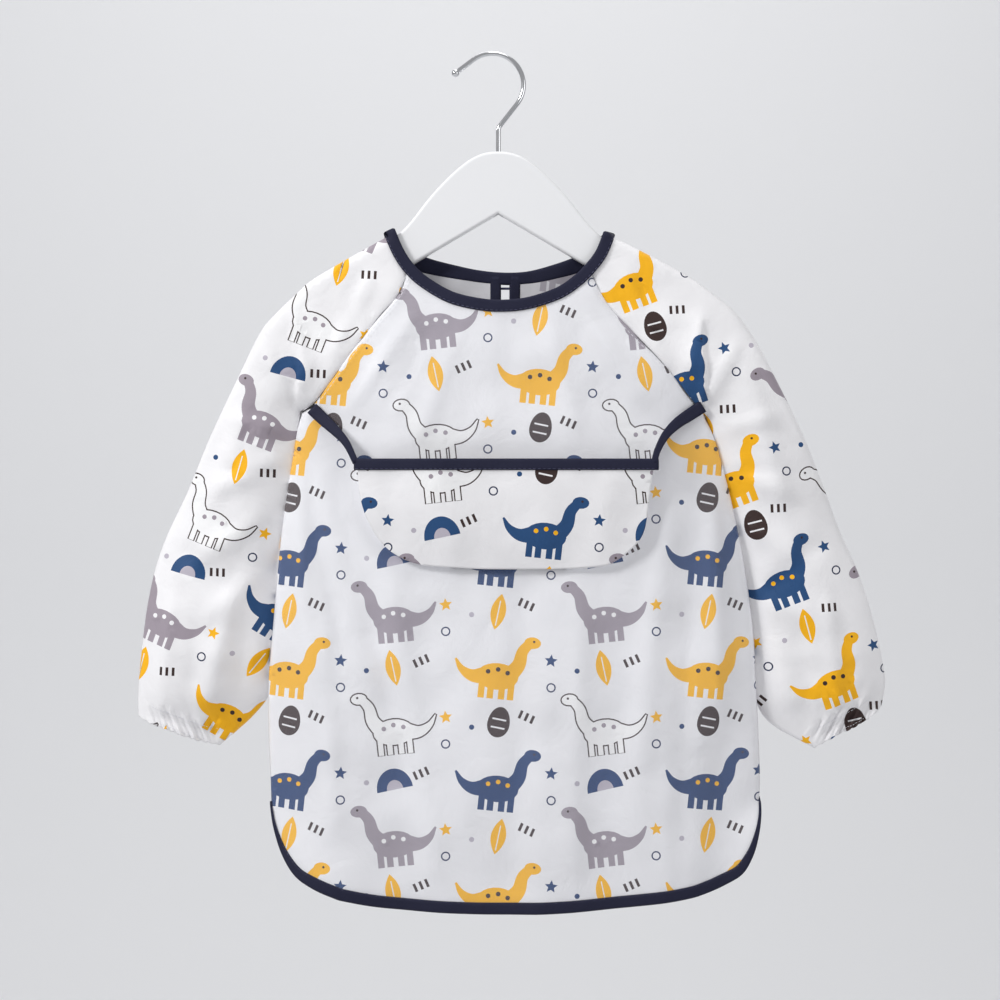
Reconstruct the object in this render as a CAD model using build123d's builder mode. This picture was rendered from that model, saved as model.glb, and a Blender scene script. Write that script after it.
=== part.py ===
"""A child's long-sleeved smock with a catch pocket, hanging on a small clothes hanger.

Frame: millimetres, +Z up, -Y is the front of the smock, +X its right side as seen from the front.
The origin is the crown of the hook's inside, where it rests on a rail.
"""

import os
from math import cos, radians, sin, sqrt

from build123d import *

# --- hook and hanger -------------------------------------------------------------------------
WIRE_R = 1.75  # the hook is 3.5 mm wire
BOW_R = 22.7  # centreline radius of the hook's bow
BOW_X = -4.5  # the bow stands a little to one side of the stem
BOW_Z = -sqrt((BOW_R - WIRE_R) ** 2 - BOW_X**2)  # so that the bow's inside passes the origin
BOW_START, BOW_END = -38.0, 127.0  # angles round the bow, in degrees
STEM_BEND_R = 6.0
TAIL = 16.0  # straight length from the bow's end to the ball tip
BALL_R = 2.8
HANGER_TOP_Z = -69.0
HANGER_APEX_Z = -114.0  # the point of the V under the hanger's middle
HANGER_HALF_T = 5.0  # the hanger is 10 mm thick
STEM_BORE_R = 2.05
HEAD_R, HEAD_T = 3.3, 1.8  # the stem's peened head, under the hanger
HEAD_TOP_Z = -107.0
COUNTERBORE_R = 3.8
WASHER_T = 0.8
RUNNING_GAP = 0.15  # between the washer and what turns against it

# --- cloth -----------------------------------------------------------------------------------
CLOTH = 1.5  # thickness of the plain solids that stand for cloth
TAPE = 8.5  # visible width of the bias binding
FILM, FILM_GAP = 0.6, 0.3  # the clear waterproof film over the front, and how far it stands off
TORSO_END = 3.0  # half thickness of the cloth tube at a side seam
YOKE_END = 7.5  # half thickness where the cloth lies over a hanger arm
DEEP = 80.0  # longer than the smock is deep, for cutters along Y

FILM_SEAM = 4.0  # the film ends this far in front of the side seams

# Half width, half depth and end half thickness of the smock at each height.
YOKE = [
    (-127.5, 73.0, 9.5, YOKE_END),
    (-132.0, 82.0, 9.8, YOKE_END),
    (-147.5, 114.0, 11.0, YOKE_END),
    (-171.0, 148.5, 13.0, YOKE_END),
    (-195.5, 172.5, 15.0, YOKE_END),
    (-223.5, 189.0, 17.0, YOKE_END),
    (-252.0, 204.0, 19.0, YOKE_END),
]
YOKE_FOOT = (-286.0, 218.0, 20.0, YOKE_END)
TORSO = YOKE + [
    (-278.0, 153.0, 20.0, TORSO_END),
    (-327.0, 163.0, 22.0, TORSO_END),
    (-377.0, 169.0, 23.0, TORSO_END),
    (-463.0, 176.0, 25.0, TORSO_END),
    (-624.0, 177.0, 26.0, TORSO_END),
]

# Edges, as (x, z) from the middle outwards: the lowest point, then where each round stretch ends.
FRONT_NECK = [(0.0, -177.5), (41.0, -168.0), (74.0, -127.5)]
BACK_NECK = [(0.0, -158.5), (40.0, -152.5), (74.0, -127.5)]
HEM = [(0.0, -618.0), (132.0, -609.0), (173.0, -561.0), (177.5, -537.0)]
RAGLAN = [(40.0, -120.0), (68.0, -158.0), (141.0, -254.0), (153.0, -279.0)]
WIDE, ABOVE, BELOW = 260.0, -90.0, -700.0  # beyond any cloth
SLEEVE_CUT_OUT = (202.0, -246.5)  # outer end of the line where cap and sleeve part

# The sleeve: x, y and z of each section's middle, its half width, how far its outer end is
# tipped up in degrees, its half depth and its end half thickness.
SLEEVE = [
    (177.5, 0.0, -262.8, 29.4, 33.5, 11.0, 6.0),
    (191.8, 6.0, -308.0, 30.4, 18.9, 15.0, 7.0),
    (210.0, 10.0, -371.0, 40.2, 9.9, 19.0, 8.0),
    (222.5, 10.0, -433.5, 46.2, 5.6, 20.0, 8.0),
    (226.0, 9.0, -464.5, 44.6, 4.5, 19.0, 8.0),
    (234.0, 8.0, -481.7, 35.7, 11.7, 16.0, 7.0),
    (241.5, 7.0, -487.7, 27.6, 19.6, 12.0, 6.0),
]
SLEEVE_GAP = 0.8  # between the sleeve and its cap, which turn against each other
ELASTIC_WIDTH = 7.0
ELASTIC = 1.0

SLIT_X = 5.0  # the back slit stands a little to one side, as the smock hangs
SLIT_HALF = 3.5
SLIT_BOTTOM_Z = -243.0
SLIT_TAPE = 7.0

BUTTON_R, BUTTON_T = 5.5, 2.4
BUTTON_X, BUTTON_Z = SLIT_X - 9.5, -163.5
SHANK_R = 1.3
LOOP_R = 0.9  # radius of the loop's cord
LOOP_TURN_R = 3.0

UPPER_FRONT_FOOT = -292.0  # where the upper front is joined to the lower, behind the pocket
POCKET_BOTTOM = (-24.8, -370.0)  # y and z of the pocket's sewn bottom edge
POCKET_TILT = 8.5  # how far the pocket's mouth leans out, in degrees
POCKET_OUTLINE = [(109.5, 72.0), (105.0, 44.0), (92.0, 18.0), (64.0, 2.5), (0.0, 0.0)]
TAPE_T = 2.4  # thickness of a free binding, two folds of tape round the cloth
GUSSET_GAP = 0.8


def lens(plane, half_width, half_depth, end):
    """A flattened tube's outline: a long arc front and back, joined by a tight arc at each end."""
    inner = half_width - end
    with BuildSketch(plane) as section:
        with BuildLine():
            front = ThreePointArc((-inner, -end), (0, -half_depth), (inner, -end))
            right = ThreePointArc(front @ 1, (half_width, 0), (inner, end))
            back = ThreePointArc(right @ 1, (0, half_depth), (-inner, end))
            ThreePointArc(back @ 1, (-half_width, 0), front @ 0)
        make_face()
    return section.sketch


def cloth_tube(sections, wall=CLOTH):
    """Adds an open tube of cloth through (plane, half width, half depth, end) sections."""
    for inset, mode in ((0.0, Mode.ADD), (wall, Mode.SUBTRACT)):
        loft([lens(plane, w - inset, d - inset, e - inset) for plane, w, d, e in sections],
             ruled=True, mode=mode)


def level(sections, grown=0.0):
    """Sections of the smock's body, each on its own horizontal plane."""
    return [(Plane.XY.offset(z), w + grown, d + grown, e + grown) for z, w, d, e in sections]


def mirrored(points):
    """The points and their mirror images, as one list, with no point on the middle twice."""
    return [(-x, z) for x, z in points] + [(x, z) for x, z in reversed(points) if x]


def arc_edge(lowest, turn, *ends):
    """Adds an edge of tangent arcs, the same to each side of its lowest point."""
    middle = ThreePointArc((-turn[0], turn[1]), lowest, turn)
    for side, start, heading in ((1, middle @ 1, middle % 1), (-1, middle @ 0, (middle % 0) * -1)):
        for x, z in ends:
            arc = TangentArc(start, (side * x, z), tangent=heading)
            start, heading = arc @ 1, arc % 1


def neck_area(points, margin=0.0):
    """The area that a neckline leaves open, up to well above the smock, grown by a margin."""
    reach, shoulder = points[-1]
    with BuildSketch(Plane.XZ) as area:
        with BuildLine():
            arc_edge(*points)
            Polyline((reach, shoulder), (reach, ABOVE), (-reach, ABOVE), (-reach, shoulder))
        make_face()
        offset(amount=margin)
    return area.sketch


def hem_area(margin=0.0):
    """The area above the hem's edge, less a margin."""
    reach, side = HEM[-1]
    with BuildSketch(Plane.XZ) as area:
        with BuildLine():
            arc_edge(*HEM)
            Polyline((reach, side), (WIDE, side), (WIDE, ABOVE), (-WIDE, ABOVE), (-WIDE, side),
                     (-reach, side))
        make_face()
        offset(amount=-margin)
    return area.sketch


def panel_area():
    """The area of a body panel: between the raglan seams, and everything below the armpits."""
    with BuildSketch(Plane.XZ) as area:
        with BuildLine():
            Polyline(*mirrored([(WIDE, BELOW), (WIDE, RAGLAN[-1][1] - 3), *reversed(RAGLAN)]),
                     close=True)
        make_face()
    return area.sketch


def upper_area():
    """The area of the upper front: above the pocket's mouth and its two sloping ends."""
    mouth = [(RAGLAN[2][0] + 1, RAGLAN[2][1] - 1), (POCKET_OUTLINE[0][0] - 3, UPPER_FRONT_FOOT)]
    with BuildSketch(Plane.XZ) as area:
        with BuildLine():
            Polyline(*mirrored([(0, ABOVE), (WIDE, ABOVE), (WIDE, mouth[0][1]), *mouth]),
                     close=True)
        make_face()
    return area.sketch


def slit_area(margin=0.0):
    """The area of the back slit, grown by a margin."""
    top = BACK_NECK[0][1] + 12
    with BuildSketch(Plane.XZ) as area:
        with Locations((SLIT_X, (top + SLIT_BOTTOM_Z - margin) / 2)):
            Rectangle(2 * (SLIT_HALF + margin), top - SLIT_BOTTOM_Z + margin)
    return area.sketch


def above_neckline(margin=0.0):
    """A cutter for what is above the neckline: its front half and its deeper back half."""
    with BuildPart() as cutter:
        extrude(neck_area(FRONT_NECK, margin), amount=DEEP)
        extrude(neck_area(BACK_NECK, margin), amount=-DEEP)
    return cutter.part


# --- the hanger and its hook -------------------------------------------------------------------
with BuildPart() as hook_wire:
    with BuildLine(Plane.XZ) as route:
        bow = CenterArc((BOW_X, BOW_Z), BOW_R, BOW_START, BOW_END - BOW_START)
        tail = Line(bow @ 1, bow @ 1 + (bow % 1) * TAIL)
        foot = bow @ 0
        rise = bow % 0
        corner = foot - rise * (foot.X / rise.X)
        FilletPolyline((0, HEAD_TOP_Z), corner, foot, radius=STEM_BEND_R)
    with BuildSketch(Plane.XY.offset(HEAD_TOP_Z)):
        Circle(WIRE_R)
    sweep(path=route.wires()[0])
    with Locations((tail @ 1)):
        Sphere(BALL_R)
    with BuildSketch(Plane.XY.offset(HEAD_TOP_Z - HEAD_T)):
        Circle(HEAD_R)
    extrude(amount=HEAD_T)

with BuildPart() as hook_washer:
    with BuildSketch(Plane.XY.offset(HEAD_TOP_Z + RUNNING_GAP)):
        Circle(COUNTERBORE_R - 0.3)
        Circle(STEM_BORE_R, mode=Mode.SUBTRACT)
    extrude(amount=WASHER_T)

with BuildPart() as hanger_body:
    with BuildSketch(Plane.XZ):
        with BuildLine():
            right_top = Spline((0, HANGER_TOP_Z), (29.5, -81.5), (52.0, -105.0), (72.0, -128.5),
                               (104.0, -147.5), (134.0, -165.5), tangents=[(1, 0), (1, -0.62)])
            tip = ThreePointArc(right_top @ 1, (140.5, -175.5), (131.0, -183.5))
            Polyline(tip @ 1, (61.0, -150.0), (0, HANGER_APEX_Z), (0, HANGER_TOP_Z))
        make_face()
        mirror(about=Plane.YZ)
    extrude(amount=HANGER_HALF_T, both=True)
    fillet(hanger_body.faces().sort_by(Axis.Y)[0].edges(), 2.2)
    fillet(hanger_body.faces().sort_by(Axis.Y)[-1].edges(), 2.2)
    with Locations((0, 0, HANGER_TOP_Z - 25)):
        Cylinder(STEM_BORE_R, 60, mode=Mode.SUBTRACT)
    with BuildSketch(Plane.XY.offset(HEAD_TOP_Z + 2 * RUNNING_GAP + WASHER_T)):
        Circle(COUNTERBORE_R)
    extrude(amount=-20, mode=Mode.SUBTRACT)

# --- the smock's body ----------------------------------------------------------------------------
with BuildPart() as torso_tube:
    cloth_tube(level(TORSO))

with BuildPart() as yoke_tube:
    cloth_tube(level(YOKE + [YOKE_FOOT]))

with BuildPart() as film_tube:
    cloth_tube(level(TORSO, FILM_GAP + FILM), FILM)


def front_piece(tube, mode, seam=0.0):
    """Cuts the upper or the lower front out of a tube: the upper area is kept or taken away."""
    add(tube.part)
    split(bisect_by=Plane.XZ.offset(seam), keep=Keep.TOP)
    extrude(panel_area(), amount=DEEP, both=True, mode=Mode.INTERSECT)
    extrude(hem_area(TAPE), amount=DEEP, both=True, mode=Mode.INTERSECT)
    extrude(upper_area(), amount=DEEP, mode=mode)
    add(above_neckline(TAPE), mode=Mode.SUBTRACT)


with BuildPart() as front_upper_panel:
    front_piece(torso_tube, Mode.INTERSECT)

with BuildPart() as front_lower_panel:
    front_piece(torso_tube, Mode.SUBTRACT)

with BuildPart() as front_upper_film:
    front_piece(film_tube, Mode.INTERSECT, FILM_SEAM)

with BuildPart() as front_lower_film:
    front_piece(film_tube, Mode.SUBTRACT, FILM_SEAM)

with BuildPart() as back_panel:
    add(torso_tube.part)
    split(bisect_by=Plane.XZ, keep=Keep.BOTTOM)
    extrude(panel_area(), amount=DEEP, both=True, mode=Mode.INTERSECT)
    extrude(hem_area(TAPE), amount=DEEP, both=True, mode=Mode.INTERSECT)
    add(above_neckline(TAPE), mode=Mode.SUBTRACT)
    extrude(slit_area(SLIT_TAPE), amount=DEEP, both=True, mode=Mode.SUBTRACT)

with BuildPart() as neck_binding:
    add(yoke_tube.part)
    add(above_neckline(TAPE), mode=Mode.INTERSECT)
    add(above_neckline(), mode=Mode.SUBTRACT)
    extrude(slit_area(), amount=-DEEP, mode=Mode.SUBTRACT)

with BuildPart() as slit_binding:
    add(torso_tube.part)
    extrude(slit_area(SLIT_TAPE), amount=-DEEP, mode=Mode.INTERSECT)
    extrude(slit_area(), amount=-DEEP, mode=Mode.SUBTRACT)
    add(above_neckline(TAPE), mode=Mode.SUBTRACT)

with BuildPart() as hem_binding:
    add(torso_tube.part)
    extrude(hem_area(), amount=DEEP, both=True, mode=Mode.INTERSECT)
    extrude(hem_area(TAPE), amount=DEEP, both=True, mode=Mode.SUBTRACT)

# --- sleeves -------------------------------------------------------------------------------------
ARMPIT = RAGLAN[-1]

with BuildPart() as right_sleeve_cap:
    add(yoke_tube.part)
    with BuildSketch(Plane.XZ):
        with BuildLine():
            slope = (SLEEVE_CUT_OUT[1] - ARMPIT[1]) / (SLEEVE_CUT_OUT[0] - ARMPIT[0])
            beyond = (WIDE, ARMPIT[1] + slope * (WIDE - ARMPIT[0]))
            Polyline(*RAGLAN, beyond, (WIDE, RAGLAN[0][1]), close=True)
        make_face()
    extrude(amount=DEEP, both=True, mode=Mode.INTERSECT)
    add(above_neckline(TAPE), mode=Mode.SUBTRACT)


def sleeve_sections(stations, shrink=0.0):
    """Sections across the sleeve, each on a plane tipped up at its outer end."""
    found = []
    for x, y, z, half_width, tip, half_depth, end in stations:
        along = (cos(radians(tip)), 0, sin(radians(tip)))
        up = (-along[2], 0, along[0])
        plane = Plane(origin=(x, y, z), x_dir=along, z_dir=up)
        found.append((plane, half_width - shrink, half_depth - shrink, end - shrink))
    return found


with BuildPart() as right_sleeve:
    stations = sleeve_sections(SLEEVE)
    first = stations[0]
    stations[0] = (first[0].offset(-SLEEVE_GAP), *first[1:])
    cloth_tube(stations)

with BuildPart() as right_cuff_elastic:
    clear = CLOTH + 0.3
    cuff_plane, w, d, e = sleeve_sections(SLEEVE[-1:], clear)[0]
    extrude(lens(cuff_plane, w, d, e), amount=ELASTIC_WIDTH)
    extrude(lens(cuff_plane, w - ELASTIC, d - ELASTIC, e - ELASTIC), amount=ELASTIC_WIDTH,
            mode=Mode.SUBTRACT)

# --- neck button and loop ------------------------------------------------------------------------
BACK_Y = 12.6  # just outside the back of the smock at the button's height
button_plane = Plane(origin=(BUTTON_X, BACK_Y, BUTTON_Z), x_dir=(1, 0, 0), z_dir=(0, 1, 0))

with BuildPart() as button_thread:
    with BuildSketch(button_plane):
        Circle(SHANK_R)
    extrude(amount=2.6)

with BuildPart() as neck_button:
    with BuildSketch(button_plane.offset(2.6)):
        Circle(BUTTON_R)
        with GridLocations(2.4, 2.4, 2, 2):
            Circle(0.55, mode=Mode.SUBTRACT)
    extrude(amount=BUTTON_T)
    rims = neck_button.edges().filter_by(GeomType.CIRCLE)
    fillet(rims.filter_by(lambda edge: edge.radius > 5), 0.7)

with BuildPart() as neck_loop:
    loop_y = BACK_Y + LOOP_R + 0.1
    with BuildLine(Plane(origin=(0, loop_y, BUTTON_Z), x_dir=(1, 0, 0), z_dir=(0, -1, 0))) as turn:
        upper = Line((SLIT_X + 6.5, LOOP_TURN_R), (BUTTON_X, LOOP_TURN_R))
        end = ThreePointArc(upper @ 1, (BUTTON_X - LOOP_TURN_R, 0), (BUTTON_X, -LOOP_TURN_R))
        Line(end @ 1, (SLIT_X + 6.5, -LOOP_TURN_R))
    with BuildSketch(Plane(origin=upper @ 0, z_dir=upper % 0)):
        Circle(LOOP_R)
    sweep(path=turn.wires()[0])

# --- catch pocket -----------------------------------------------------------------------------------
lean = radians(POCKET_TILT)
pocket_plane = Plane(origin=(0, *POCKET_BOTTOM), x_dir=(1, 0, 0), z_dir=(0, -cos(lean), -sin(lean)))
MOUTH_HALF, POCKET_HEIGHT = POCKET_OUTLINE[0]

with BuildPart() as pocket_front:
    with BuildSketch(pocket_plane):
        with BuildLine():
            edge = Spline(*mirrored(POCKET_OUTLINE))
            Line(edge @ 1, edge @ 0)
        make_face()
    extrude(amount=CLOTH)

with BuildPart() as pocket_binding:
    with BuildSketch(pocket_plane.offset((CLOTH - TAPE_T) / 2)):
        with Locations((0, POCKET_HEIGHT + TAPE / 2)):
            Rectangle(2 * MOUTH_HALF, TAPE)
    extrude(amount=TAPE_T)
    fillet(pocket_binding.edges().filter_by(Axis.X), 0.9)


def on_pocket(x, height, forward=0.0):
    """A point on the pocket's plane, moved forward by so much."""
    return pocket_plane.from_local_coords(Vector(x, height, forward))


def slab(corners, thickness):
    """Adds a flat plate of even thickness on its corners."""
    extrude(Face(Wire.make_polygon(corners, close=True)), amount=thickness / 2, both=True)


side = MOUTH_HALF + GUSSET_GAP
raglan_end = Vector(RAGLAN[2][0] - 2, -15.0, RAGLAN[2][1] - 4)
below_raglan_end = raglan_end + Vector(-1, 0, -TAPE)

with BuildPart() as right_pocket_gusset:
    upper, lower = on_pocket(side, POCKET_HEIGHT - 2, CLOTH), on_pocket(side, 26.0, CLOTH)
    extrude(Face(Wire.make_polygon([below_raglan_end, upper, lower], close=True)),
            amount=CLOTH / 2, both=True)

with BuildPart() as right_gusset_binding:
    mouth_end = on_pocket(side + TAPE / 2, POCKET_HEIGHT + TAPE / 2, CLOTH / 2)
    run = mouth_end - raglan_end
    with BuildSketch(Plane(origin=raglan_end, x_dir=run.cross(Vector(0, 1, 0)), z_dir=run)):
        Rectangle(TAPE, TAPE_T)
    extrude(amount=run.length)

# --- pairs, labels and files ------------------------------------------------------------------------
finished = {
    "hook_wire": hook_wire.part,
    "hook_washer": hook_washer.part,
    "hanger_body": hanger_body.part,
    "front_upper_panel": front_upper_panel.part,
    "front_lower_panel": front_lower_panel.part,
    "front_upper_film": front_upper_film.part,
    "front_lower_film": front_lower_film.part,
    "back_panel": back_panel.part,
    "neck_binding": neck_binding.part,
    "slit_binding": slit_binding.part,
    "hem_binding": hem_binding.part,
    "neck_button": neck_button.part,
    "button_thread": button_thread.part,
    "neck_loop": neck_loop.part,
    "pocket_front": pocket_front.part,
    "pocket_binding": pocket_binding.part,
}
paired = {
    "sleeve_cap": right_sleeve_cap.part,
    "sleeve": right_sleeve.part,
    "cuff_elastic": right_cuff_elastic.part,
    "pocket_gusset": right_pocket_gusset.part,
    "gusset_binding": right_gusset_binding.part,
}
for name, right in paired.items():
    finished[f"right_{name}"] = right
    finished[f"left_{name}"] = right.mirror(Plane.YZ)

os.makedirs("parts", exist_ok=True)
for name, piece in finished.items():
    piece.label = name
    export_step(piece, f"parts/{name}.step")
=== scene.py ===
import math

import bmesh
import bpy
import numpy as np
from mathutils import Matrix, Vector
from mathutils.geometry import delaunay_2d_cdt


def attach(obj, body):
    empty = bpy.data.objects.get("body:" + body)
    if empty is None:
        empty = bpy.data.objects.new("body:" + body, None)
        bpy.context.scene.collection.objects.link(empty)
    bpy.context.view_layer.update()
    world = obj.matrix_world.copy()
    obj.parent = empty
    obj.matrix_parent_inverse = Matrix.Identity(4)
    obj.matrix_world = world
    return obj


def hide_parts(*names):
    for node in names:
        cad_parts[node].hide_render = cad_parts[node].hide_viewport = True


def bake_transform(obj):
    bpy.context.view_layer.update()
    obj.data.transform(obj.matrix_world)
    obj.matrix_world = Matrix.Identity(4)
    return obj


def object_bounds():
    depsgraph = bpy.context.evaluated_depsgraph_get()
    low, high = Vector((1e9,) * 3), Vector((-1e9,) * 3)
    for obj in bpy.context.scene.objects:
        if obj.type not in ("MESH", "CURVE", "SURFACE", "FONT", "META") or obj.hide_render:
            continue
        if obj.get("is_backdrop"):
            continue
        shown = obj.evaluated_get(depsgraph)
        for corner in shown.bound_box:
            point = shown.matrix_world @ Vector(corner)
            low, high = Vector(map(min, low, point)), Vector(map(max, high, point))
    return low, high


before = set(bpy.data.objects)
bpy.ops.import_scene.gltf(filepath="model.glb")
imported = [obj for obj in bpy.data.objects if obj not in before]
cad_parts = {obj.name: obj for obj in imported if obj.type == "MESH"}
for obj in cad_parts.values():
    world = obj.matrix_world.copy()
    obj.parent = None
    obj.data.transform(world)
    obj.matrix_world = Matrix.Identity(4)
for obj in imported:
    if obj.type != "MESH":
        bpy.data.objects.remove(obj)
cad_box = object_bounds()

# ---------------------------------------------------------------------------
# Studio. A pale grey room, one large soft lamp high on the left, a weaker one on
# the right, and a camera level with the smock's pocket, looking straight at it.
# ---------------------------------------------------------------------------
scene = bpy.context.scene
scene.view_settings.view_transform = "Standard"
world = bpy.data.worlds.new("pale_room")
scene.world = world
world.use_nodes = True
world.node_tree.nodes["Background"].inputs["Color"].default_value = (0.775, 0.777, 0.79, 1)
world.node_tree.nodes["Background"].inputs["Strength"].default_value = 0.515

camera_data = bpy.data.cameras.new("camera")
camera_data.lens = 85
camera_data.sensor_width = 36
camera = bpy.data.objects.new("camera", camera_data)
camera.location = (0.0012, -1.706, -0.3204)
camera.rotation_euler = (math.radians(90), 0, 0)
scene.collection.objects.link(camera)
scene.camera = camera

for name, place, aim, size, power in [
    ("key_lamp", (-1.7, -1.1, 0.9), (0, 0, -0.35), 0.6, 34),
    ("fill_lamp", (1.8, -1.5, -0.1), (0, 0, -0.35), 1.4, 9),
    ("top_lamp", (0.2, -0.7, 1.5), (0, 0, -0.35), 0.8, 8),
    ("wall_lamp", (0, 0.9, 1.8), (0, 2.6, -0.3), 2.0, 21),
]:
    lamp = bpy.data.lights.new(name, "AREA")
    lamp.shape, lamp.size, lamp.energy = "DISK", size, power
    holder = bpy.data.objects.new(name, lamp)
    holder.location = place
    holder.rotation_euler = (Vector(aim) - Vector(place)).to_track_quat("-Z", "Y").to_euler()
    scene.collection.objects.link(holder)

turn = np.linspace(0, math.pi / 2, 13)
cove_y = np.concatenate([[-6], 1.4 + 1.2 * np.sin(turn), [2.6]])
cove_z = np.concatenate([[-1.6], -0.4 - 1.2 * np.cos(turn), [5.0]])
cove = np.stack([np.stack([np.full(15, x), cove_y, cove_z], 1) for x in (-7.0, 7.0)], 1).reshape(-1, 3)
k = np.arange(14) * 2
floor_mesh = bpy.data.meshes.new("floor")
floor_mesh.from_pydata(cove.tolist(), [], np.stack([k, k + 1, k + 3, k + 2], 1).tolist())
floor_mesh.polygons.foreach_set("use_smooth", np.full(14, True))
floor = bpy.data.objects.new("floor", floor_mesh)
scene.collection.objects.link(floor)
floor_paint = bpy.data.materials.new("floor_paint")
floor_paint.use_nodes = True
floor_paint.node_tree.nodes["Principled BSDF"].inputs["Base Color"].default_value = (0.82, 0.825, 0.84, 1)
floor_paint.node_tree.nodes["Principled BSDF"].inputs["Roughness"].default_value = 0.9
floor_mesh.materials.append(floor_paint)
floor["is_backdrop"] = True

# ---------------------------------------------------------------------------
# Hanger. A bent, chromed steel wire with a ball on its tip turns in a steel washer
# in the top of a white gloss moulded body. All three keep their made shape.
# ---------------------------------------------------------------------------


def new_material(name, colour, roughness, **sockets):
    """A Principled material with its fixed values on the shader's own sockets; returns the material, its nodes,
    its links and the shader."""
    made = bpy.data.materials.new(name)
    made.use_nodes = True
    nodes, links = made.node_tree.nodes, made.node_tree.links
    shader = nodes["Principled BSDF"]
    shader.inputs["Base Color"].default_value = (*colour, 1)
    shader.inputs["Roughness"].default_value = roughness
    for socket, value in sockets.items():
        shader.inputs[socket.replace("_", " ")].default_value = value
    return made, nodes, links, shader


def uneven(nodes, links, shader, scale, low, high, bump_scale, bump_height, detail=3.0):
    """Roughness from soft noise between low and high, and a fine bump, both on Object coordinates."""
    where = nodes.new("ShaderNodeTexCoord")
    blotch = nodes.new("ShaderNodeTexNoise")
    blotch.inputs["Scale"].default_value = scale
    blotch.inputs["Detail"].default_value = detail
    spread = nodes.new("ShaderNodeMapRange")
    spread.inputs["To Min"].default_value, spread.inputs["To Max"].default_value = low, high
    fine = nodes.new("ShaderNodeTexNoise")
    fine.inputs["Scale"].default_value = bump_scale
    bump = nodes.new("ShaderNodeBump")
    bump.inputs["Strength"].default_value = 0.4
    bump.inputs["Distance"].default_value = bump_height
    links.new(where.outputs["Object"], blotch.inputs["Vector"])
    links.new(where.outputs["Object"], fine.inputs["Vector"])
    links.new(blotch.outputs["Fac"], spread.inputs["Value"])
    links.new(spread.outputs["Result"], shader.inputs["Roughness"])
    links.new(fine.outputs["Fac"], bump.inputs["Height"])
    links.new(bump.outputs["Normal"], shader.inputs["Normal"])


def repaint(node, material):
    """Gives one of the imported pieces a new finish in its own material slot."""
    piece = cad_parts[node]
    piece.data.materials.clear()
    piece.data.materials.append(material)


chrome, nodes, links, shader = new_material("chromed_wire", (0.72, 0.73, 0.75), 0.12, Metallic=1.0)
uneven(nodes, links, shader, 90, 0.08, 0.2, 900, 0.00004)
repaint("hook_wire", chrome)
washer_steel, nodes, links, shader = new_material("pressed_steel", (0.55, 0.55, 0.56), 0.3, Metallic=1.0)
uneven(nodes, links, shader, 300, 0.25, 0.42, 1500, 0.00005)
repaint("hook_washer", washer_steel)
white_gloss, nodes, links, shader = new_material("white_gloss_plastic", (0.86, 0.865, 0.88), 0.3,
                                                 Coat_Weight=0.3, Coat_Roughness=0.12)
uneven(nodes, links, shader, 25, 0.26, 0.4, 350, 0.00006)
repaint("hanger_body", white_gloss)

# ---------------------------------------------------------------------------
# The smock's outline, in millimetres as it hangs, seen from the front. It leans a
# little to the wearer's left. The hanger's shoulders carry the sleeve tops.
# ---------------------------------------------------------------------------
LEFT_OUTER = [(-80, -130), (-107, -145), (-134, -161), (-146, -171.5), (-162, -187), (-173, -201), (-190, -236),
              (-209, -276), (-225, -314), (-244, -355), (-254, -393), (-260, -440), (-261.5, -464), (-261, -477)]
RIGHT_OUTER = [(82, -130), (110, -144), (138, -159.5), (157, -173), (173, -187), (188, -209), (200, -232),
               (219, -270), (235, -309), (247, -341), (263, -378), (274, -415),
                (280.5, -448), (279.5, -462), (278, -470)]
LEFT_CUFF = [(-261, -477), (-251, -482), (-239, -486), (-222, -492.5), (-202, -498)]
RIGHT_CUFF = [(278, -470), (268, -478), (257, -484), (243, -491.5), (229, -500)]
LEFT_INNER = [(-142, -257), (-145, -286), (-149, -315), (-153, -342), (-157, -380), (-160, -413), (-164, -448),
              (-167, -463), (-178, -477), (-190, -488), (-202, -498)]
RIGHT_INNER = [(149, -260), (157, -283), (164, -314), (170, -342), (177, -378), (182, -413), (184, -448),
               (186, -464), (193, -478), (204, -487), (215, -493), (229, -500)]
LEFT_SIDE = [(-142, -257), (-146, -270), (-149, -289), (-153, -315), (-156.5, -342), (-159, -368), (-163, -413),
             (-166, -451), (-166, -486), (-164.5, -522), (-164, -539)]
RIGHT_SIDE = [(149, -260), (157, -277), (166, -310), (173, -342), (178, -369), (184, -413), (186, -450),
              (188, -490), (189, -520), (188.5, -536)]
HEM = [(-164, -539), (-160.8, -556), (-154.5, -574), (-145, -588), (-132, -596.2), (-118, -602), (-109, -605),
       (-80, -610.5), (-28, -614.3), (18, -614.3), (70, -611.8), (115, -607.5), (136, -604.5), (147.4, -601.6),
       (161.5, -596), (174.5, -588), (182, -575), (186, -561), (188.3, -547), (188.5, -536)]
LEFT_RAGLAN = [(-64, -154), (-73, -174), (-87, -191), (-103, -211), (-122, -237), (-133, -251), (-142, -257)]
RIGHT_RAGLAN = [(65, -155), (79, -180), (98, -201), (117, -221), (138, -247), (149, -260)]
NECK_FRONT = [(-78.5, -127), (-72, -142), (-64, -154), (-53, -164), (-35, -174.5), (-16, -179.5), (2, -181),
              (22, -179), (43, -172), (56, -163.5), (65, -155), (74, -143), (80.5, -127)]
NECK_BACK = [(-78.5, -127), (-66, -141.5), (-53, -148.5), (-31, -154.5), (-13, -158), (5, -159.5), (22, -158.5),
             (40, -154), (57, -148), (69, -140.5), (80.5, -127)]
LEFT_BACK_RAGLAN = [(-66, -143.5), (-76, -166), (-90, -189), (-106, -213), (-124, -238), (-142, -257)]
RIGHT_BACK_RAGLAN = [(69, -142.5), (80, -166), (96, -192), (114, -217), (134, -244), (149, -260)]


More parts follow.
